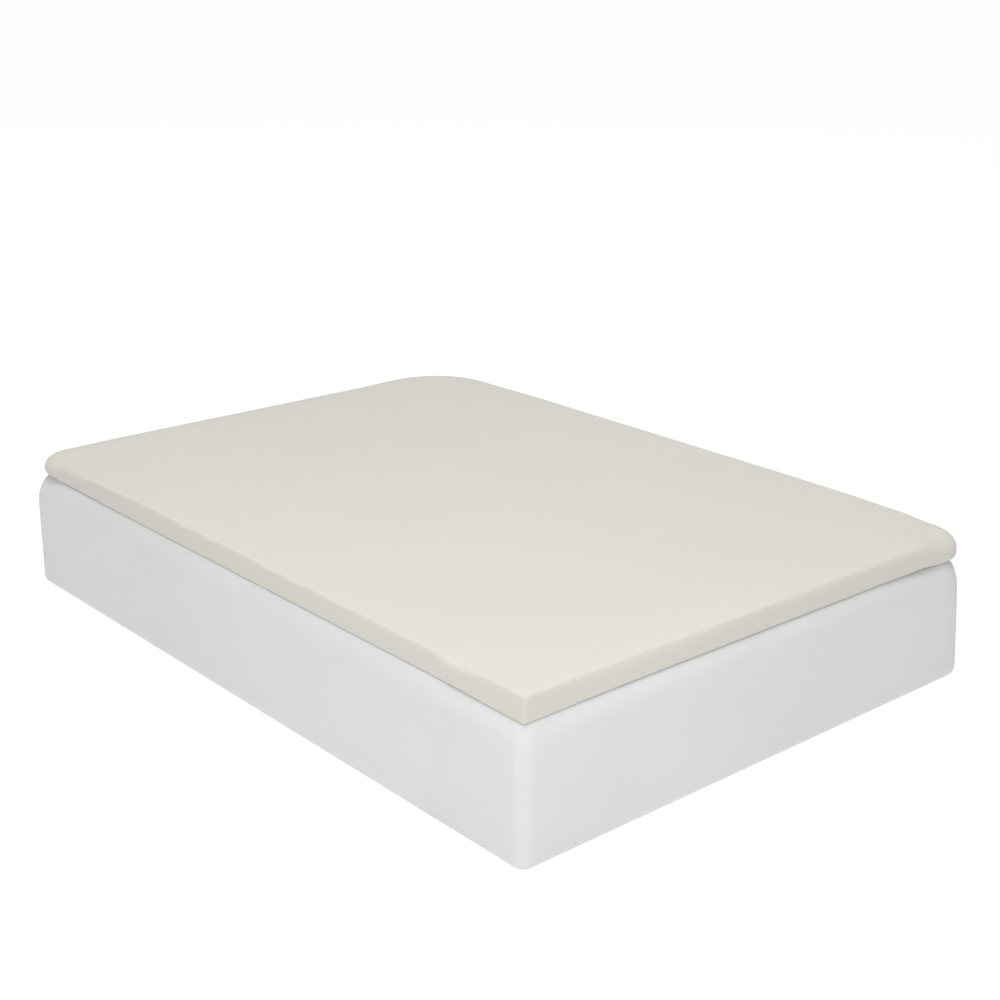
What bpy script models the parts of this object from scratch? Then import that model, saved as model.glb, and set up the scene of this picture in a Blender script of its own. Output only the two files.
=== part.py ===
"""A fitted sheet pulled over a thin mattress topper that lies on its mattress.

Metres, with +Z up. X runs across the width and Y along the length, with the foot end at -Y. The origin is
on the floor, under the middle of the mattress. Seen from above, the corners run anticlockwise from the
near one at (-X, -Y): near, right, far, left. A place on the rim is one number, whole on a corner's arc and
between two corners the share of that side already passed, so 0.5 is halfway along the foot end and 3.5
is halfway along the near long side.
"""

import math
from collections import namedtuple

import bmesh
import bpy

# A full size mattress, nominally 54 by 75 inches and 12 deep
MATTRESS_WIDTH = 1.396
MATTRESS_LENGTH = 1.930
MATTRESS_HEIGHT = 0.300
MATTRESS_TOP_RADII = (0.060, 0.130, 0.140, 0.080)  # near, right, far and left corner in plan
MATTRESS_BASE_RADII = (0.028, 0.064, 0.080, 0.057)
BASE_ROUND = 0.022  # the soft edge all round the underside
TAPER = 0.005  # what each wall draws in from top to bottom

# The sheet on the 2 inch topper that it fits
SHEET_WIDTH = 1.376
SHEET_LENGTH = 1.909
SHEET_HEIGHT = 0.052
SHEET_RADII = (0.013, 0.106, 0.200, 0.090)
SHEET_OFF_CENTRE = (0.009, 0.009)  # where the topper lies on the mattress
CLOTH = 0.002
HEM_RETURN = 0.090  # how far the cloth runs in below the topper
FLAT_INSET = 0.180  # where the top is level all round

GAP = 0.0003  # between pieces that touch
EDGE_CLEARANCE = 0.002  # between the topper's edges and the cloth
TOPPER_REBATE = 0.0035  # room below the topper's rim for the cloth that turns under it
REBATE_CLEARANCE = 0.006  # from the hem to the step in the topper's underside

CORNER_SIGNS = ((-1, -1), (1, -1), (1, 1), (-1, 1))
LEAST_RADIUS = 0.008
CORNER_STEPS = 6
SIDE_STEPS = (10, 6, 6, 16)  # foot end, right side, head end, near long side
SHOULDER_STEPS = 6
BASE_STEPS = 4
SLOPE_SHARES = (1.0, 0.6, 0.3)  # where the slope towards the round edge has its points
EDGE_STEPS = 5
TUCK_STEPS = 3
SHARP_ANGLE = math.radians(50)

MATTRESS_COLOUR = (0.80, 0.80, 0.81)
TOPPER_COLOUR = (0.75, 0.70, 0.55)
SHEET_COLOUR = (0.72, 0.69, 0.58)
MATTRESS_ROUGHNESS = 0.85
TOPPER_ROUGHNESS = 0.90
SHEET_ROUGHNESS = 0.80

# The sheet's edge. fall and slope: how far the top drops towards the rim, and over what width.
# round_in and round_down: the width and height of the round edge, which is a crisp crease where small.
# tuck_in and tuck_up: how far the lowest part of the side is drawn in, and over what height.
Edge = namedtuple("Edge", "at fall slope round_in round_down tuck_in tuck_up")
SHEET_EDGE = (
    Edge(0.00, 0.0010, 0.060, 0.008, 0.009, 0.003, 0.006),
    Edge(0.04, 0.0015, 0.060, 0.018, 0.016, 0.004, 0.007),
    Edge(0.12, 0.0010, 0.060, 0.032, 0.026, 0.005, 0.008),
    Edge(0.30, 0.0020, 0.070, 0.044, 0.030, 0.005, 0.008),
    Edge(0.50, 0.0010, 0.060, 0.034, 0.028, 0.006, 0.009),
    Edge(0.60, 0.0015, 0.050, 0.022, 0.020, 0.006, 0.009),
    Edge(0.80, 0.0020, 0.060, 0.032, 0.026, 0.008, 0.010),
    Edge(1.00, 0.0120, 0.070, 0.044, 0.024, 0.006, 0.005),
    Edge(1.15, 0.0030, 0.080, 0.028, 0.026, 0.007, 0.010),
    Edge(1.85, 0.0030, 0.080, 0.028, 0.026, 0.007, 0.010),
    Edge(2.00, 0.0040, 0.090, 0.036, 0.027, 0.010, 0.010),
    Edge(2.15, 0.0070, 0.080, 0.035, 0.027, 0.007, 0.010),
    Edge(2.85, 0.0070, 0.080, 0.035, 0.027, 0.007, 0.010),
    Edge(3.00, 0.0090, 0.070, 0.030, 0.024, 0.012, 0.011),
    Edge(3.10, 0.0070, 0.080, 0.016, 0.016, 0.007, 0.010),
    Edge(3.17, 0.0030, 0.080, 0.009, 0.010, 0.004, 0.007),
    Edge(3.40, 0.0000, 0.060, 0.006, 0.007, 0.003, 0.006),
    Edge(3.60, 0.0010, 0.070, 0.007, 0.008, 0.003, 0.006),
    Edge(3.84, 0.0005, 0.060, 0.007, 0.008, 0.003, 0.006),
    Edge(3.91, 0.0020, 0.060, 0.016, 0.014, 0.004, 0.006),
    Edge(3.96, 0.0005, 0.060, 0.007, 0.008, 0.003, 0.006),
)

# The mattress's shoulder: the width and height of the soft edge round its top
Shoulder = namedtuple("Shoulder", "at width height")
MATTRESS_SHOULDER = (
    Shoulder(0.0, 0.034, 0.060),
    Shoulder(0.5, 0.030, 0.056),
    Shoulder(1.0, 0.036, 0.060),
    Shoulder(1.5, 0.030, 0.056),
    Shoulder(2.0, 0.030, 0.056),
    Shoulder(2.5, 0.030, 0.056),
    Shoulder(3.0, 0.050, 0.080),
    Shoulder(3.5, 0.036, 0.062),
)

Station = namedtuple("Station", "corner turn along")  # turn: share of the corner's arc; along: of the side
Plan = namedtuple("Plan", "width length radii centre")  # a rectangle with a radius of its own per corner


def stations():
    """Places round a rim: each corner's arc, then the straight run to the next corner."""
    places = []
    for corner, steps in enumerate(SIDE_STEPS):
        places += [Station(corner, step / CORNER_STEPS, 0.0) for step in range(CORNER_STEPS + 1)]
        places += [Station(corner, 1.0, step / steps) for step in range(1, steps)]
    return places


def arc_point(plan, corner, turn, inset):
    """A point on a corner's arc, with the whole rim drawn in by inset."""
    radius = max(plan.radii[corner] - inset, LEAST_RADIUS)
    sign_x, sign_y = CORNER_SIGNS[corner]
    angle = math.radians(180 + 90 * (corner + turn))
    x = sign_x * (plan.width / 2 - inset - radius) + radius * math.cos(angle)
    y = sign_y * (plan.length / 2 - inset - radius) + radius * math.sin(angle)
    return x + plan.centre[0], y + plan.centre[1]


def plan_point(plan, station, inset):
    """A point at a station, on a corner's arc or on the straight run after it."""
    x, y = arc_point(plan, station.corner, station.turn, inset)
    if station.along:
        next_x, next_y = arc_point(plan, (station.corner + 1) % len(CORNER_SIGNS), 0.0, inset)
        x += (next_x - x) * station.along
        y += (next_y - y) * station.along
    return x, y


def row_at(table, at):
    """A table's row at any place on the rim, eased from each row to the next and from the last to the first."""
    later = [row for row in table if row.at > at]
    after = later[0] if later else table[0]._replace(at=float(len(CORNER_SIGNS)))
    before = [row for row in table if row.at <= at][-1]
    share = (at - before.at) / (after.at - before.at)
    share = share * share * (3 - 2 * share)
    return type(before)(*(a + (b - a) * share for a, b in zip(before, after)))


def arc(steps, start=0.0):
    """Angles in equal steps from start to a quarter turn."""
    return [start + (math.pi / 2 - start) * step / steps for step in range(steps + 1)]


def soft_edge(edge, height, foot):
    """A section's (inset, height) points from the level top down to foot: slope, round edge, side, tuck."""
    lean = math.atan2(2 * edge.fall * edge.round_in, edge.slope * edge.round_down)
    start = edge.round_in * (1 - math.sin(lean))
    centre = height - edge.fall - edge.round_down * math.cos(lean)
    points = [
        (start + edge.slope * share, height - edge.fall * (1 - share) ** 2) for share in SLOPE_SHARES
    ]
    points += [
        (edge.round_in * (1 - math.sin(a)), centre + edge.round_down * math.cos(a))
        for a in arc(EDGE_STEPS, lean)
    ]
    points += [
        (edge.tuck_in * (1 - math.cos(a)), foot + edge.tuck_up * (1 - math.sin(a)))
        for a in arc(TUCK_STEPS)
    ]
    return points


def sheet_section(at):
    """The cloth's outer side, from the level top out over the edge, down the side and in below the topper."""
    edge = row_at(SHEET_EDGE, at)
    level = MATTRESS_HEIGHT + GAP
    return [
        (FLAT_INSET, level + SHEET_HEIGHT),
        *soft_edge(edge, level + SHEET_HEIGHT, level),
        (edge.tuck_in + HEM_RETURN, level),
    ]


def topper_section(at):
    """The topper inside the cloth: rounder than it all round, with a rebate below for the cloth's return."""
    edge = row_at(SHEET_EDGE, at)
    edge = edge._replace(
        round_in=edge.round_in + 2 * EDGE_CLEARANCE,
        round_down=edge.round_down + EDGE_CLEARANCE,
        tuck_in=edge.tuck_in + 2 * EDGE_CLEARANCE,
        tuck_up=edge.tuck_up + EDGE_CLEARANCE,
    )
    level = MATTRESS_HEIGHT + GAP
    step = edge.tuck_in + HEM_RETURN + REBATE_CLEARANCE
    return [
        (FLAT_INSET, level + SHEET_HEIGHT - CLOTH - GAP),
        *soft_edge(edge, level + SHEET_HEIGHT - CLOTH - GAP, level + TOPPER_REBATE),
        (step, level + TOPPER_REBATE),
        (step, level),
    ]


def mattress_rings():
    """The mattress as level rings: shoulder, wall and rounded underside."""
    rings = []
    places = stations()
    shoulders = [row_at(MATTRESS_SHOULDER, place.corner + place.along) for place in places]
    for angle in arc(SHOULDER_STEPS):
        ring = []
        for place, shoulder in zip(places, shoulders):
            inset = shoulder.width * (1 - math.sin(angle))
            height = MATTRESS_HEIGHT - shoulder.height * (1 - math.cos(angle))
            ring.append((*plan_point(mattress_plan(height), place, inset), height))
        rings.append(ring)
    for angle in arc(BASE_STEPS):
        height = BASE_ROUND * (1 - math.sin(angle))
        inset = BASE_ROUND * (1 - math.cos(angle))
        plan = mattress_plan(height)
        rings.append([(*plan_point(plan, place, inset), height) for place in places])
    return rings


def mattress_plan(height):
    """The mattress's plan at a height: its walls draw in and its corners sharpen towards the floor."""
    low = 1 - height / MATTRESS_HEIGHT
    radii = [a + (b - a) * low for a, b in zip(MATTRESS_TOP_RADII, MATTRESS_BASE_RADII)]
    drawn = 2 * TAPER * low
    return Plan(MATTRESS_WIDTH - drawn, MATTRESS_LENGTH - drawn, radii, (0.0, 0.0))


def section_rings(plan, section):
    """Rings of points from a section that is asked for at every station round a plan."""
    columns = []
    for place in stations():
        points = section(place.corner + place.along)
        columns.append([(*plan_point(plan, place, inset), height) for inset, height in points])
    return list(zip(*columns))


def skin(name, rings, open_below=False):
    """An object whose surface runs through the rings, the first capped and the last too unless open below."""
    shape = bmesh.new()
    loops = [[shape.verts.new(point) for point in ring] for ring in rings]
    for upper, lower in zip(loops, loops[1:]):
        for here in range(len(upper)):
            there = (here + 1) % len(upper)
            shape.faces.new((lower[here], lower[there], upper[there], upper[here]))
    shape.faces.new(loops[0])
    if not open_below:
        shape.faces.new(reversed(loops[-1]))
    mesh = bpy.data.meshes.new(name)
    shape.to_mesh(mesh)
    shape.free()
    mesh.shade_smooth()
    mesh.set_sharp_from_angle(angle=SHARP_ANGLE)
    built = bpy.data.objects.new(name, mesh)
    bpy.context.collection.objects.link(built)
    return built


def finish(built, colour, roughness):
    """A plain cloth or foam finish."""
    material = bpy.data.materials.new(built.name)
    material.use_nodes = True
    shader = material.node_tree.nodes["Principled BSDF"]
    shader.inputs["Base Color"].default_value = (*colour, 1.0)
    shader.inputs["Roughness"].default_value = roughness
    shader.inputs["Metallic"].default_value = 0.0
    built.data.materials.append(material)


def build_mattress():
    """The plain white mattress, one padded block with a soft shoulder and a level underside."""
    finish(skin("mattress", mattress_rings()), MATTRESS_COLOUR, MATTRESS_ROUGHNESS)


def build_topper():
    """The foam topper that the sheet fits, hidden inside it."""
    margin = CLOTH + EDGE_CLEARANCE
    radii = [max(radius - margin, LEAST_RADIUS) for radius in SHEET_RADII]
    plan = Plan(SHEET_WIDTH - 2 * margin, SHEET_LENGTH - 2 * margin, radii, SHEET_OFF_CENTRE)
    finish(skin("topper", section_rings(plan, topper_section)), TOPPER_COLOUR, TOPPER_ROUGHNESS)


def build_sheet():
    """The fitted sheet: one cloth shell, open below inside its hem."""
    plan = Plan(SHEET_WIDTH, SHEET_LENGTH, SHEET_RADII, SHEET_OFF_CENTRE)
    sheet = skin("fitted_sheet", section_rings(plan, sheet_section), open_below=True)
    shell = sheet.modifiers.new("cloth", "SOLIDIFY")
    shell.thickness = CLOTH
    shell.offset = -1.0
    shell.use_even_offset = True
    finish(sheet, SHEET_COLOUR, SHEET_ROUGHNESS)


for old in list(bpy.data.objects):
    bpy.data.objects.remove(old)
build_mattress()
build_topper()
build_sheet()
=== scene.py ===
"""A cream fitted sheet pulled over a mattress topper, which lies on a white mattress.

Metres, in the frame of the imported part: +X across the width, +Y from the foot end to the head end, +Z up.
Seen from above, the corners run anticlockwise from the near one at (-X, -Y): near, right, far, left.
A place on a rim is one number, whole on a corner's arc and between two corners the share of that side
already passed, so 0.5 is halfway along the foot end and 3.5 is halfway along the near long side.
"""

import math
from collections import namedtuple

import bmesh
import bpy
from mathutils import Matrix, Vector


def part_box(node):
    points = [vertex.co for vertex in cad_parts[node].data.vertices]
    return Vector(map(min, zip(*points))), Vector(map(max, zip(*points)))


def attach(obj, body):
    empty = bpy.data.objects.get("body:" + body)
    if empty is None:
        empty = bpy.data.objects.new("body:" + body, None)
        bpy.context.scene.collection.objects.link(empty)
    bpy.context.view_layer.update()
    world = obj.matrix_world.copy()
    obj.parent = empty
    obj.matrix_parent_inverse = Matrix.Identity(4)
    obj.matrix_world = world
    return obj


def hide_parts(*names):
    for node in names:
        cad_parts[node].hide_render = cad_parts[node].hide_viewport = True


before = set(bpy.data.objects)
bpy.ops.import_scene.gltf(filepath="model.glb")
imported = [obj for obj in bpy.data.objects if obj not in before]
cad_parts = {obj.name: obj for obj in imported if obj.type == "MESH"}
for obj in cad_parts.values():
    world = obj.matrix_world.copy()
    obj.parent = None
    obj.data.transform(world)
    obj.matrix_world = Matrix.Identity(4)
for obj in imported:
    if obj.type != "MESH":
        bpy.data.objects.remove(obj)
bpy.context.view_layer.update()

# The camera stands off the near corner, as high as the eyes of someone standing. Its place, turn and lens
# were worked out from the outlines of the sheet and the mattress in the photo.
PHOTO_SIDE = 1000
FOCAL_PIXELS = 1675
SENSOR_WIDTH = 36
CAMERA_PLACE = (-2.476, -2.935, 1.642)
CAMERA_TURN = math.radians(41.10)
CAMERA_DIP = math.radians(18.98)
CAMERA_ROLL = math.radians(0.49)

camera_data = bpy.data.cameras.new("camera")
camera_data.sensor_width = SENSOR_WIDTH
camera_data.lens = SENSOR_WIDTH * FOCAL_PIXELS / PHOTO_SIDE
camera = bpy.data.objects.new("camera", camera_data)
bpy.context.collection.objects.link(camera)
camera.matrix_world = (
    Matrix.Translation(CAMERA_PLACE)
    @ Matrix.Rotation(-CAMERA_TURN, 4, "Z")
    @ Matrix.Rotation(math.pi / 2 - CAMERA_DIP, 4, "X")
    @ Matrix.Rotation(CAMERA_ROLL, 4, "Z")
)
bpy.context.scene.camera = camera

# The mattress is one deep block of foam and springs in a white stretch knit cover. The cover is drawn
# tight, so the top edge is a soft shoulder, widest at the two side corners, and the walls hang straight
# with the faintest ripples.
KNIT_WHITE = (0.773, 0.768, 0.771)
KNIT_SHADE = (0.748, 0.743, 0.749)
KNIT_WALE = 0.0016
KNIT_COURSE = 0.0012
RIDGE_SHARE = 0.6
TOP_CORNERS = (0.038, 0.130, 0.140, 0.080)
BASE_CORNERS = (0.028, 0.064, 0.080, 0.057)
LEAST_RADIUS = 0.004
BASE_ROUND = 0.022
WALL_TAPER = 0.005
WIDEST_DROP = 0.057
RIPPLE_DEPTH = 0.0005
RIPPLE_LENGTHS = (0.19, 0.083)
CORNER_STEPS = 12
SHOULDER_STEPS = 20
WALL_STEPS = 14
BLOCK_SIDE_STEPS = (40, 56, 40, 56)
BLOCK_CREASE = math.radians(60)

# width and height: of the soft shoulder. cut: how far above the flat top it would have ended, had the
# weight of the topper not pressed the top flat.
Shoulder = namedtuple("Shoulder", "at width height cut")
SHOULDERS = (
    Shoulder(0.00, 0.034, 0.060, 0.000),
    Shoulder(0.16, 0.031, 0.057, 0.000),
    Shoulder(0.80, 0.031, 0.057, 0.000),
    Shoulder(1.00, 0.055, 0.078, 0.000),
    Shoulder(1.10, 0.030, 0.056, 0.006),
    Shoulder(2.90, 0.030, 0.056, 0.006),
    Shoulder(3.00, 0.056, 0.078, 0.002),
    Shoulder(3.07, 0.036, 0.062, 0.009),
    Shoulder(3.84, 0.036, 0.062, 0.010),
    Shoulder(3.91, 0.034, 0.060, 0.000),
)

Place = namedtuple("Place", "corner turn along at")
Plan = namedtuple("Plan", "low high radii")
Cloth = namedtuple("Cloth", "material nodes links shader")


def rim_places(side_steps):
    """The places round a rim: each corner's arc, then the straight run to the next corner."""
    places = []
    for corner, steps in enumerate(side_steps):
        places += [Place(corner, step / CORNER_STEPS, 0.0, corner) for step in range(CORNER_STEPS + 1)]
        places += [Place(corner, 1.0, step / steps, corner + step / steps) for step in range(1, steps)]
    return places


def outward_angle(corner, turn):
    """The way that a corner's arc faces at a turn from 0 to 1, as an angle from +X."""
    return math.radians(180 + 90 * (corner + turn))


def corner_point(plan, corner, turn, inset):
    """A point on a corner's arc, with the whole rim drawn in by inset."""
    radius = max(plan.radii[corner] - inset, LEAST_RADIUS)
    angle = outward_angle(corner, turn)
    at_right, at_far = corner in (1, 2), corner in (2, 3)
    x = plan.high.x - inset - radius if at_right else plan.low.x + inset + radius
    y = plan.high.y - inset - radius if at_far else plan.low.y + inset + radius
    return Vector((x + radius * math.cos(angle), y + radius * math.sin(angle)))


def rim_point(plan, place, inset):
    """A point at a place on the rim, drawn in by inset."""
    start = corner_point(plan, place.corner, place.turn, inset)
    if not place.along:
        return start
    return start.lerp(corner_point(plan, (place.corner + 1) % 4, 0.0, inset), place.along)


def eased(rows, at):
    """A table's row at any place on the rim, eased from each row to the next and from the last to the
    first."""
    later = [row for row in rows if row.at > at]
    after = later[0] if later else rows[0]._replace(at=4.0)
    before = [row for row in rows if row.at <= at][-1]
    share = (at - before.at) / (after.at - before.at)
    share = share * share * (3 - 2 * share)
    return type(before)(*(a + (b - a) * share for a, b in zip(before, after)))


def loft(name, rings, flat_rings):
    """A mesh through rings of points. flat_rings gives each point's place on the flat cloth, with one more
    per ring where the ring comes round to its start."""
    shape = bmesh.new()
    cloth_map = shape.loops.layers.uv.new("cloth")
    loops = [[shape.verts.new(point) for point in ring] for ring in rings]
    count = len(rings[0])
    for row in range(len(rings) - 1):
        for here in range(count):
            there = (here + 1) % count
            face = shape.faces.new(
                (loops[row + 1][here], loops[row + 1][there], loops[row][there], loops[row][here])
            )
            corners = ((row + 1, here), (row + 1, here + 1), (row, here + 1), (row, here))
            for corner, (ring, place) in zip(face.loops, corners):
                corner[cloth_map].uv = flat_rings[ring][place]
    mesh = bpy.data.meshes.new(name)
    shape.to_mesh(mesh)
    shape.free()
    piece = bpy.data.objects.new(name, mesh)
    bpy.context.collection.objects.link(piece)
    return piece


def edit_alone(piece):
    """Selects one piece and enters edit mode with nothing selected in it."""
    bpy.ops.object.select_all(action="DESELECT")
    piece.select_set(True)
    bpy.context.view_layer.objects.active = piece
    bpy.ops.object.mode_set(mode="EDIT")
    bpy.ops.mesh.select_mode(type="EDGE")
    bpy.ops.mesh.select_all(action="DESELECT")


def close_ring(piece, start, count):
    """Fills the ring of count points that follow each other from start with a single flat face."""
    shape = bmesh.from_edit_mesh(piece.data)
    shape.verts.ensure_lookup_table()
    ring = set(shape.verts[start:start + count])
    for edge in shape.edges:
        edge.select_set(all(vert in ring for vert in edge.verts))
    bmesh.update_edit_mesh(piece.data)
    bpy.ops.mesh.edge_face_add()
    bpy.ops.mesh.select_all(action="DESELECT")


def map_flat_faces(piece):
    """Gives the flat faces with many sides their own plan as their place on the flat cloth."""
    cloth_map = piece.data.uv_layers["cloth"].data
    for face in piece.data.polygons:
        if len(face.vertices) > 4:
            for corner in face.loop_indices:
                cloth_map[corner].uv = piece.data.vertices[piece.data.loops[corner].vertex_index].co.xy


def close_block(piece, rings):
    """Closes a block at the top and the underside, and shades it smooth up to its creases."""
    count = len(rings[0])
    edit_alone(piece)
    close_ring(piece, 0, count)
    close_ring(piece, count * (len(rings) - 1), count)
    bpy.ops.mesh.select_all(action="SELECT")
    bpy.ops.mesh.normals_make_consistent(inside=False)
    bpy.ops.object.mode_set(mode="OBJECT")
    map_flat_faces(piece)
    bpy.ops.object.shade_smooth_by_angle(angle=BLOCK_CREASE)


mattress_low, mattress_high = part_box("mattress")
mattress_height = mattress_high.z
widest_height = mattress_height - WIDEST_DROP


def mattress_plan(height):
    """The mattress's plan at a height: its walls draw in and its corners sharpen towards the floor."""
    low = 1 - height / mattress_height
    radii = [top + (base - top) * low for top, base in zip(TOP_CORNERS, BASE_CORNERS)]
    out = WALL_TAPER * (height - widest_height) / mattress_height
    margin = Vector((out, out, 0))
    return Plan(mattress_low - margin, mattress_high + margin, radii)


def mattress_section(at):
    """(inset, height) points from the top down the shoulder and the wall and in to the underside."""
    shoulder = eased(SHOULDERS, at)
    whole_height = shoulder.height + shoulder.cut
    first = math.acos(1 - shoulder.cut / whole_height)
    points = []
    for step in range(SHOULDER_STEPS + 1):
        angle = first + (math.pi / 2 - first) * step / SHOULDER_STEPS
        drop = whole_height * (1 - math.cos(angle)) - shoulder.cut
        points.append((shoulder.width * (1 - math.sin(angle)), mattress_height - drop))
    wall_top = points[-1][1]
    for step in range(1, WALL_STEPS):
        points.append((0.0, wall_top + (BASE_ROUND - wall_top) * step / WALL_STEPS))
    for step in range(CORNER_STEPS + 1):
        angle = math.pi / 2 * step / CORNER_STEPS
        points.append((BASE_ROUND * (1 - math.cos(angle)), BASE_ROUND * (1 - math.sin(angle))))
    return points


def ripple(distance, height):
    """How far the cover of a wall stands in or out, fading to nothing at the shoulder and the base."""
    share = min(max((height - BASE_ROUND) / (widest_height - BASE_ROUND), 0), 1)
    waves = sum(math.sin(2 * math.pi * distance / length) for length in RIPPLE_LENGTHS)
    return RIPPLE_DEPTH * waves * math.sin(math.pi * share)


def mattress_rings():
    """The mattress's rings of points, and the same on the flat cover: the distance round the mattress, and
    how far down the cover runs from the top."""
    places = rim_places(BLOCK_SIDE_STEPS)
    plan = mattress_plan(widest_height)
    rim = [rim_point(plan, place, 0) for place in places]
    distances = [0.0]
    for here, there in zip(rim, rim[1:] + rim[:1]):
        distances.append(distances[-1] + (there - here).length)
    columns = []
    flat_columns = []
    for place, distance in zip(places, distances):
        column = []
        flat_column = []
        down = 0.0
        for inset, height in mattress_section(place.at):
            rippled = rim_point(mattress_plan(height), place, inset - ripple(distance, height))
            point = Vector((*rippled, height))
            if column:
                down += (point - column[-1]).length
            column.append(point)
            flat_column.append((distance, -down))
        columns.append(column)
        flat_columns.append(flat_column)
    flat_columns.append([(distances[-1], length) for _, length in flat_columns[0]])
    return list(zip(*columns)), list(zip(*flat_columns))


rings, flat_rings = mattress_rings()
mattress = loft("mattress_cover", rings, flat_rings)
close_block(mattress, rings)

CLOTH_SPECULAR = 0.25
SHEEN_ROUGHNESS = 0.6
PATCH_DETAIL = 3
PATCH_LOW, PATCH_HIGH = 0.35, 0.65


def cloth_material(name, colour, roughness, sheen):
    """A Principled material in one colour, with its nodes, links and shader to build a weave on."""
    material = bpy.data.materials.new(name)
    material.use_nodes = True
    shader = material.node_tree.nodes["Principled BSDF"]
    shader.inputs["Base Color"].default_value = (*colour, 1)
    shader.inputs["Roughness"].default_value = roughness
    shader.inputs["Specular IOR Level"].default_value = CLOTH_SPECULAR
    shader.inputs["Sheen Weight"].default_value = sheen
    shader.inputs["Sheen Roughness"].default_value = SHEEN_ROUGHNESS
    return Cloth(material, material.node_tree.nodes, material.node_tree.links, shader)


def add_math(cloth, operation, first, second=None):
    """The output of a Math node whose inputs are numbers or other nodes' outputs."""
    node = cloth.nodes.new("ShaderNodeMath")
    node.operation = operation
    for socket, value in zip(node.inputs, (first, second)):
        if isinstance(value, bpy.types.NodeSocket):
            cloth.links.new(value, socket)
        elif value is not None:
            socket.default_value = value
    return node.outputs["Value"]


def thread_waves(cloth, across, along):
    """Sines across and along the flat cloth, one turn for each of those lengths."""
    flat_place = cloth.nodes.new("ShaderNodeTexCoord").outputs["UV"]
    split = cloth.nodes.new("ShaderNodeSeparateXYZ")
    cloth.links.new(flat_place, split.inputs["Vector"])
    waves = []
    for axis, length in (("X", across), ("Y", along)):
        turns = add_math(cloth, "MULTIPLY", split.outputs[axis], 2 * math.pi / length)
        waves.append(add_math(cloth, "SINE", turns))
    return waves


def raise_surface(cloth, height, depth, strength):
    """Raises the threads or cells by a bump of that depth."""
    bump = cloth.nodes.new("ShaderNodeBump")
    bump.inputs["Distance"].default_value = depth
    bump.inputs["Strength"].default_value = strength
    cloth.links.new(height, bump.inputs["Height"])
    cloth.links.new(bump.outputs["Normal"], cloth.shader.inputs["Normal"])


def shade_patches(cloth, scale, first, second):
    """Colours the cloth in soft uneven patches between two close shades."""
    noise = cloth.nodes.new("ShaderNodeTexNoise")
    noise.inputs["Scale"].default_value = scale
    noise.inputs["Detail"].default_value = PATCH_DETAIL
    cloth.links.new(cloth.nodes.new("ShaderNodeTexCoord").outputs["Object"], noise.inputs["Vector"])
    spread = cloth.nodes.new("ShaderNodeMapRange")
    spread.inputs["From Min"].default_value = PATCH_LOW
    spread.inputs["From Max"].default_value = PATCH_HIGH
    cloth.links.new(noise.outputs["Fac"], spread.inputs["Value"])
    mix = cloth.nodes.new("ShaderNodeMix")
    mix.data_type = "RGBA"
    mix.inputs["A"].default_value = (*first, 1)
    mix.inputs["B"].default_value = (*second, 1)
    cloth.links.new(spread.outputs["Result"], mix.inputs["Factor"])
    cloth.links.new(mix.outputs["Result"], cloth.shader.inputs["Base Color"])


knit = cloth_material("white_stretch_knit", KNIT_WHITE, roughness=0.85, sheen=0.08)
wale, course = thread_waves(knit, KNIT_WALE, KNIT_COURSE)
stitches = add_math(knit, "MULTIPLY", wale, course)
stitches = add_math(knit, "ADD", stitches, add_math(knit, "MULTIPLY", wale, RIDGE_SHARE))
raise_surface(knit, stitches, depth=0.0002, strength=0.35)
shade_patches(knit, 2.2, KNIT_WHITE, KNIT_SHADE)
mattress.data.materials.append(knit.material)
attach(mattress, "root")
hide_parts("mattress")

# The topper is a two inch slab of pale foam, cut with soft edges. The sheet covers all of it, so only its
# plain form is finished: the foam's fine cells, and a shallow rebate below the rim for the cloth.
FOAM_PALE = (0.80, 0.755, 0.60)
FOAM_SHADE = (0.76, 0.71, 0.55)
FOAM_CELL_SCALE = 900
CLOTH_THICK = 0.0012
CLOTH_CLEARANCE = 0.002
REBATE_DEPTH = 0.0035
REBATE_WIDTH = 0.100
REBATE_ROUND = 0.006
FLAT_INSET = 0.180
SHEET_CORNERS = (0.006, 0.098, 0.200, 0.090)
EDGE_STEPS = 12
TUCK_STEPS = 7
SLOPE_STEPS = 10

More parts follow.
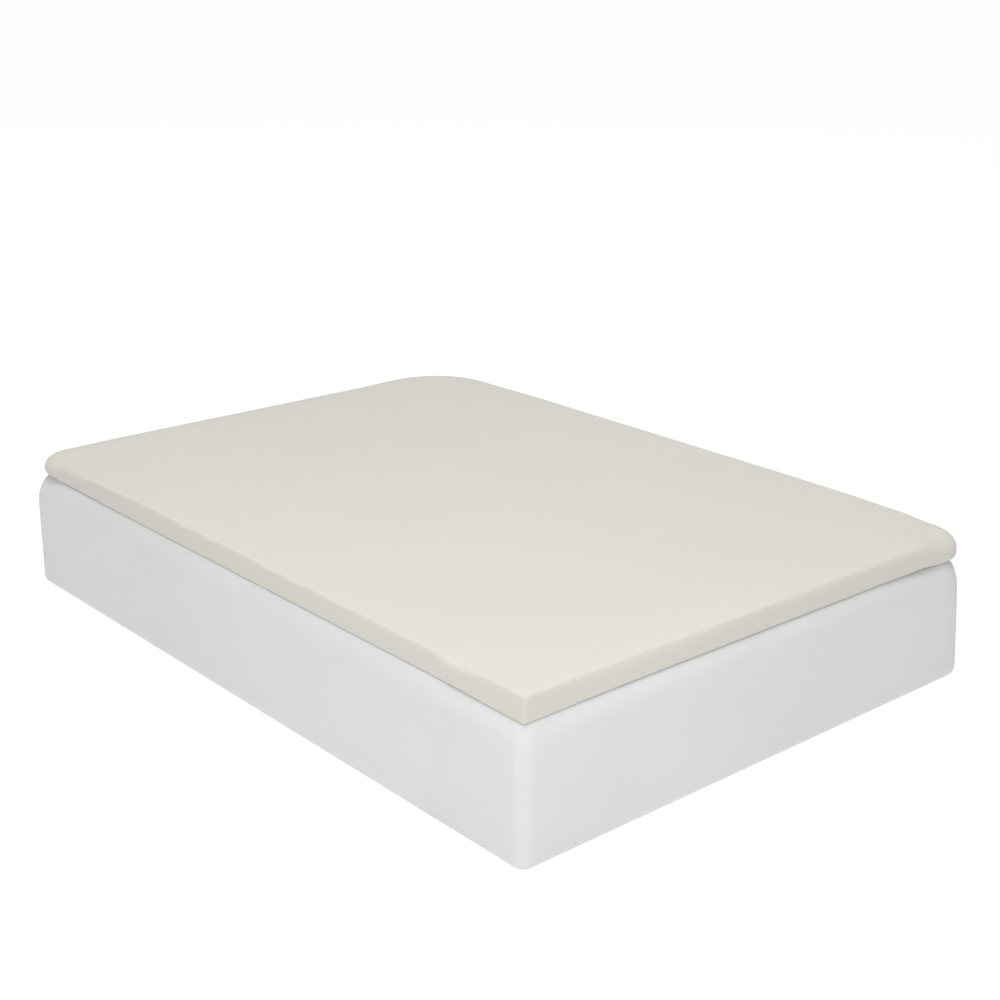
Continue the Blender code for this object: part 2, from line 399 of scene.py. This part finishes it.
# fall and slope: how far the top drops towards the rim, and over what width. round_in and round_down: the
# width and height of the round edge, a crisp crease where small. tuck_in and tuck_up: how far the lowest
# part of the side is drawn in, and over what height. droop: how far the sheet's side hangs below the cloth
# that is turned in.
Edge = namedtuple("Edge", "at fall slope round_in round_down tuck_in tuck_up droop", defaults=(0.0,))
EDGES = (
    Edge(0.000, 0.0005, 0.060, 0.004, 0.006, 0.003, 0.003, 0.0030),
    Edge(0.040, 0.0005, 0.060, 0.006, 0.016, 0.003, 0.003, 0.0025),
    Edge(0.120, 0.0010, 0.060, 0.010, 0.030, 0.003, 0.004, 0.0014),
    Edge(0.200, 0.0020, 0.060, 0.011, 0.038, 0.004, 0.004, 0.0006),
    Edge(0.300, 0.0030, 0.070, 0.012, 0.040, 0.004, 0.004, 0.0006),
    Edge(0.420, 0.0025, 0.070, 0.010, 0.034, 0.004, 0.004, 0.0006),
    Edge(0.490, 0.0010, 0.060, 0.006, 0.020, 0.004, 0.004, 0.0006),
    Edge(0.570, 0.0025, 0.060, 0.013, 0.036, 0.004, 0.004, 0.0006),
    Edge(0.680, 0.0010, 0.060, 0.011, 0.032, 0.004, 0.004, 0.0006),
    Edge(0.800, 0.0015, 0.060, 0.011, 0.032, 0.004, 0.004, 0.0006),
    Edge(0.920, 0.0015, 0.070, 0.013, 0.032, 0.005, 0.005, 0.0018),
    Edge(1.000, 0.0095, 0.128, 0.048, 0.036, 0.009, 0.008, 0.0100),
    Edge(1.060, 0.0060, 0.110, 0.036, 0.031, 0.008, 0.010),
    Edge(1.160, 0.0045, 0.080, 0.028, 0.026, 0.007, 0.010),
    Edge(1.300, 0.0030, 0.080, 0.028, 0.026, 0.007, 0.010),
    Edge(1.850, 0.0030, 0.080, 0.028, 0.026, 0.007, 0.010),
    Edge(2.000, 0.0040, 0.090, 0.036, 0.027, 0.010, 0.010),
    Edge(2.150, 0.0070, 0.080, 0.035, 0.027, 0.007, 0.010),
    Edge(2.850, 0.0080, 0.080, 0.035, 0.027, 0.007, 0.010),
    Edge(3.000, 0.0110, 0.070, 0.035, 0.027, 0.012, 0.011),
    Edge(3.080, 0.0060, 0.080, 0.013, 0.014, 0.006, 0.009),
    Edge(3.160, 0.0020, 0.080, 0.004, 0.008, 0.004, 0.007),
    Edge(3.290, 0.0000, 0.070, 0.005, 0.018, 0.003, 0.004),
    Edge(3.348, 0.0000, 0.050, 0.005, 0.018, 0.003, 0.004),
    Edge(3.364, 0.0035, 0.040, 0.005, 0.006, 0.003, 0.004),
    Edge(3.380, 0.0000, 0.050, 0.005, 0.018, 0.003, 0.004),
    Edge(3.406, 0.0000, 0.050, 0.005, 0.018, 0.003, 0.004),
    Edge(3.422, 0.0030, 0.040, 0.006, 0.007, 0.003, 0.004),
    Edge(3.440, 0.0000, 0.060, 0.005, 0.018, 0.003, 0.004),
    Edge(3.535, 0.0000, 0.060, 0.005, 0.018, 0.003, 0.004),
    Edge(3.552, 0.0030, 0.050, 0.005, 0.006, 0.003, 0.004),
    Edge(3.575, 0.0000, 0.060, 0.005, 0.018, 0.003, 0.004),
    Edge(3.610, 0.0022, 0.060, 0.006, 0.006, 0.003, 0.004),
    Edge(3.640, 0.0000, 0.060, 0.005, 0.018, 0.003, 0.004),
    Edge(3.700, 0.0010, 0.060, 0.005, 0.018, 0.003, 0.004),
    Edge(3.780, 0.0000, 0.060, 0.005, 0.018, 0.003, 0.004),
    Edge(3.860, 0.0000, 0.060, 0.005, 0.018, 0.003, 0.004),
    Edge(3.900, 0.0025, 0.060, 0.020, 0.018, 0.003, 0.004),
    Edge(3.930, 0.0010, 0.060, 0.010, 0.012, 0.003, 0.004, 0.0015),
    Edge(3.950, 0.0000, 0.060, 0.005, 0.018, 0.003, 0.003, 0.0025),
)


def soft_edge(edge, height, foot):
    """(inset, height) points from the level top out over the slope and the round edge and down to the
    tuck."""
    lean = math.atan2(2 * edge.fall * edge.round_in, edge.slope * edge.round_down)
    start = edge.round_in * (1 - math.sin(lean))
    centre = height - edge.fall - edge.round_down * math.cos(lean)
    points = []
    for step in range(SLOPE_STEPS):
        share = 1 - step / SLOPE_STEPS
        points.append((start + edge.slope * share, height - edge.fall * (1 - share) ** 2))
    for step in range(EDGE_STEPS + 1):
        angle = lean + (math.pi / 2 - lean) * step / EDGE_STEPS
        points.append((
            edge.round_in * (1 - math.sin(angle)),
            centre + edge.round_down * math.cos(angle),
        ))
    for step in range(TUCK_STEPS + 1):
        angle = math.pi / 2 * step / TUCK_STEPS
        points.append((
            edge.tuck_in * (1 - math.cos(angle)),
            foot + edge.tuck_up * (1 - math.sin(angle)),
        ))
    return points


def sheet_rings(plan, section, places):
    """Rings of points from a section that is asked for at every place, and the same on the flat cloth: each
    point lies as far out from the level top as the cloth runs to it."""
    columns = []
    flat_columns = []
    for place in places:
        points = section(place.at)
        column = [(*rim_point(plan, place, inset), height) for inset, height in points]
        start = Vector(column[0][:2])
        outward = outward_angle(place.corner, place.turn)
        run = 0.0
        flat_column = [tuple(start)]
        for (inset_a, height_a), (inset_b, height_b) in zip(points, points[1:]):
            run += math.hypot(inset_b - inset_a, height_b - height_a)
            flat_column.append((start.x + run * math.cos(outward), start.y + run * math.sin(outward)))
        columns.append(column)
        flat_columns.append(flat_column)
    flat_columns.append(flat_columns[0])
    return list(zip(*columns)), list(zip(*flat_columns))


def topper_section(at):
    """The topper inside the cloth: rounder than it all round, with a rebate below for the cloth's
    return."""
    edge = eased(EDGES, at)
    foot = topper_low.z + REBATE_DEPTH
    room = topper_high.z - edge.fall - foot - REBATE_ROUND
    edge = edge._replace(
        round_in=edge.round_in + 2 * CLOTH_CLEARANCE,
        round_down=min(edge.round_down + CLOTH_CLEARANCE, room),
        tuck_in=edge.tuck_in + 2 * CLOTH_CLEARANCE,
        tuck_up=REBATE_ROUND,
    )
    return [
        (FLAT_INSET, topper_high.z),
        *soft_edge(edge, topper_high.z, foot),
        (REBATE_WIDTH, foot),
        (REBATE_WIDTH, topper_low.z),
    ]


topper_low, topper_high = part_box("topper")
topper_radii = [max(radius - CLOTH_THICK - CLOTH_CLEARANCE, LEAST_RADIUS) for radius in SHEET_CORNERS]
topper_plan = Plan(topper_low, topper_high, topper_radii)
rings, flat_rings = sheet_rings(topper_plan, topper_section, rim_places(BLOCK_SIDE_STEPS))
topper = loft("foam_topper", rings, flat_rings)
close_block(topper, rings)

foam = cloth_material("pale_foam", FOAM_PALE, roughness=0.9, sheen=0.0)
cells = foam.nodes.new("ShaderNodeTexVoronoi")
cells.inputs["Scale"].default_value = FOAM_CELL_SCALE
foam.links.new(foam.nodes.new("ShaderNodeTexCoord").outputs["Object"], cells.inputs["Vector"])
raise_surface(foam, cells.outputs["Distance"], depth=0.0004, strength=0.6)
shade_patches(foam, 9.0, FOAM_PALE, FOAM_SHADE)
topper.data.materials.append(foam.material)
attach(topper, "root")
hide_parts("topper")

# The fitted sheet is one cloth of cream cotton percale. Its four sides are folded down over the topper's
# edge, sewn together at the corners, and turned in below it, where the hem grips.
COTTON_CREAM = (0.689, 0.669, 0.611)
COTTON_SHADE = (0.675, 0.655, 0.594)
THREAD_PITCH = 0.0009
SHEET_SIDE_STEPS = (110, 156, 110, 156)
SHEET_CREASE = math.radians(50)

# How far the cloth below the topper runs in from the side, and within what width a drooping side comes up
# to it.
HEM_RETURN = 0.090
HEM_RISE = 0.006

sheet_low, sheet_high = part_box("fitted_sheet")
sheet_plan = Plan(sheet_low, sheet_high, SHEET_CORNERS)


def sheet_section(at):
    """The cloth's outer side, from the level top out over the edge, down the side and in below the
    topper."""
    edge = eased(EDGES, at)
    return [
        (FLAT_INSET, sheet_high.z),
        *soft_edge(edge, sheet_high.z, sheet_low.z - edge.droop),
        (edge.tuck_in + HEM_RISE, sheet_low.z),
        (edge.tuck_in + HEM_RETURN, sheet_low.z),
    ]


def weave_panel(piece, across, along):
    """Fills the first ring with a grid of that many squares across and along, from the middle of one
    corner's arc to the next. The squares follow all four sides of the ring."""
    shape = bmesh.from_edit_mesh(piece.data)
    cloth_map = shape.loops.layers.uv["cloth"]
    shape.verts.ensure_lookup_table()
    half = CORNER_STEPS // 2
    ring = shape.verts[half:2 * (across + along)] + shape.verts[:half + 1]
    foot = ring[:across + 1]
    right = ring[across:across + along + 1]
    head = ring[across + along:2 * across + along + 1][::-1]
    left = ring[2 * across + along:][::-1]
    rows = []
    for step in range(along + 1):
        up = step / along
        row = [left[step]]
        for over in range(1, across):
            share = over / across
            if step in (0, along):
                row.append((head if step else foot)[over])
                continue
            place = left[step].co.lerp(right[step].co, share) + foot[over].co.lerp(head[over].co, up)
            place -= foot[0].co.lerp(foot[-1].co, share).lerp(head[0].co.lerp(head[-1].co, share), up)
            row.append(shape.verts.new(place))
        rows.append(row + [right[step]])
    for lower, upper in zip(rows, rows[1:]):
        for over in range(across):
            face = shape.faces.new((lower[over], lower[over + 1], upper[over + 1], upper[over]))
            face.smooth = True
            for corner in face.loops:
                corner[cloth_map].uv = corner.vert.co.xy
    bmesh.update_edit_mesh(piece.data)


rings, flat_rings = sheet_rings(sheet_plan, sheet_section, rim_places(SHEET_SIDE_STEPS))
sheet = loft("fitted_sheet_cloth", rings, flat_rings)
edit_alone(sheet)
weave_panel(sheet, SHEET_SIDE_STEPS[0] + CORNER_STEPS, SHEET_SIDE_STEPS[1] + CORNER_STEPS)
bpy.ops.object.mode_set(mode="OBJECT")
thickness = sheet.modifiers.new("thickness", "SOLIDIFY")
thickness.thickness = CLOTH_THICK
thickness.offset = -1
bpy.ops.object.modifier_apply(modifier=thickness.name)
bpy.ops.object.shade_smooth_by_angle(angle=SHEET_CREASE)

percale = cloth_material("cream_cotton_percale", COTTON_CREAM, roughness=0.85, sheen=0.1)
warp, weft = thread_waves(percale, THREAD_PITCH, THREAD_PITCH)
weave = add_math(percale, "MULTIPLY", warp, weft)
raise_surface(percale, weave, depth=0.0001, strength=0.3)
shade_patches(percale, 1.7, COTTON_CREAM, COTTON_SHADE)
sheet.data.materials.append(percale.material)
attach(sheet, "root")
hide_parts("fitted_sheet")

# The floor is one wide matt sheet lit from within, as a studio table is, so it shows pure white and throws
# little light back. A wide soft box hangs high overhead and a small one stands near the near corner.
FLOOR_SIDE = 240
FLOOR_DROP = 0.0005
FLOOR_GREY = (0.25, 0.25, 0.25)
FLOOR_GLOW = 0.86
SKY_STRENGTH = 0.42
WHITE = (1, 1, 1, 1)

bpy.ops.object.select_all(action="DESELECT")
bpy.ops.mesh.primitive_plane_add(size=FLOOR_SIDE, location=(0, 0, -FLOOR_DROP))
floor = bpy.context.active_object
floor.name = "floor"
matt_white = cloth_material("matt_white", FLOOR_GREY, roughness=0.9, sheen=0.0)
matt_white.shader.inputs["Emission Color"].default_value = WHITE
matt_white.shader.inputs["Emission Strength"].default_value = FLOOR_GLOW
floor.data.materials.append(matt_white.material)

world = bpy.data.worlds.new("studio")
bpy.context.scene.world = world
world.use_nodes = True
sky = world.node_tree.nodes["Background"]
sky.inputs["Color"].default_value = WHITE
sky.inputs["Strength"].default_value = SKY_STRENGTH


def soft_box(name, place, target, size, power):
    """A square light of that size that faces its target."""
    light = bpy.data.lights.new(name, "AREA")
    light.shape = "SQUARE"
    light.size = size
    light.energy = power
    lamp = bpy.data.objects.new(name, light)
    bpy.context.collection.objects.link(lamp)
    lamp.location = place
    lamp.rotation_euler = (Vector(target) - Vector(place)).to_track_quat("-Z", "Y").to_euler()


soft_box("top_box", place=(0, 0, 8), target=(0, 0, 0.3), size=4, power=325)
soft_box("key_box", place=(-2.1, -2.28, 2.2), target=(-0.5, -0.6, 0.3), size=1.2, power=32)

bpy.context.scene.view_settings.view_transform = "Standard"
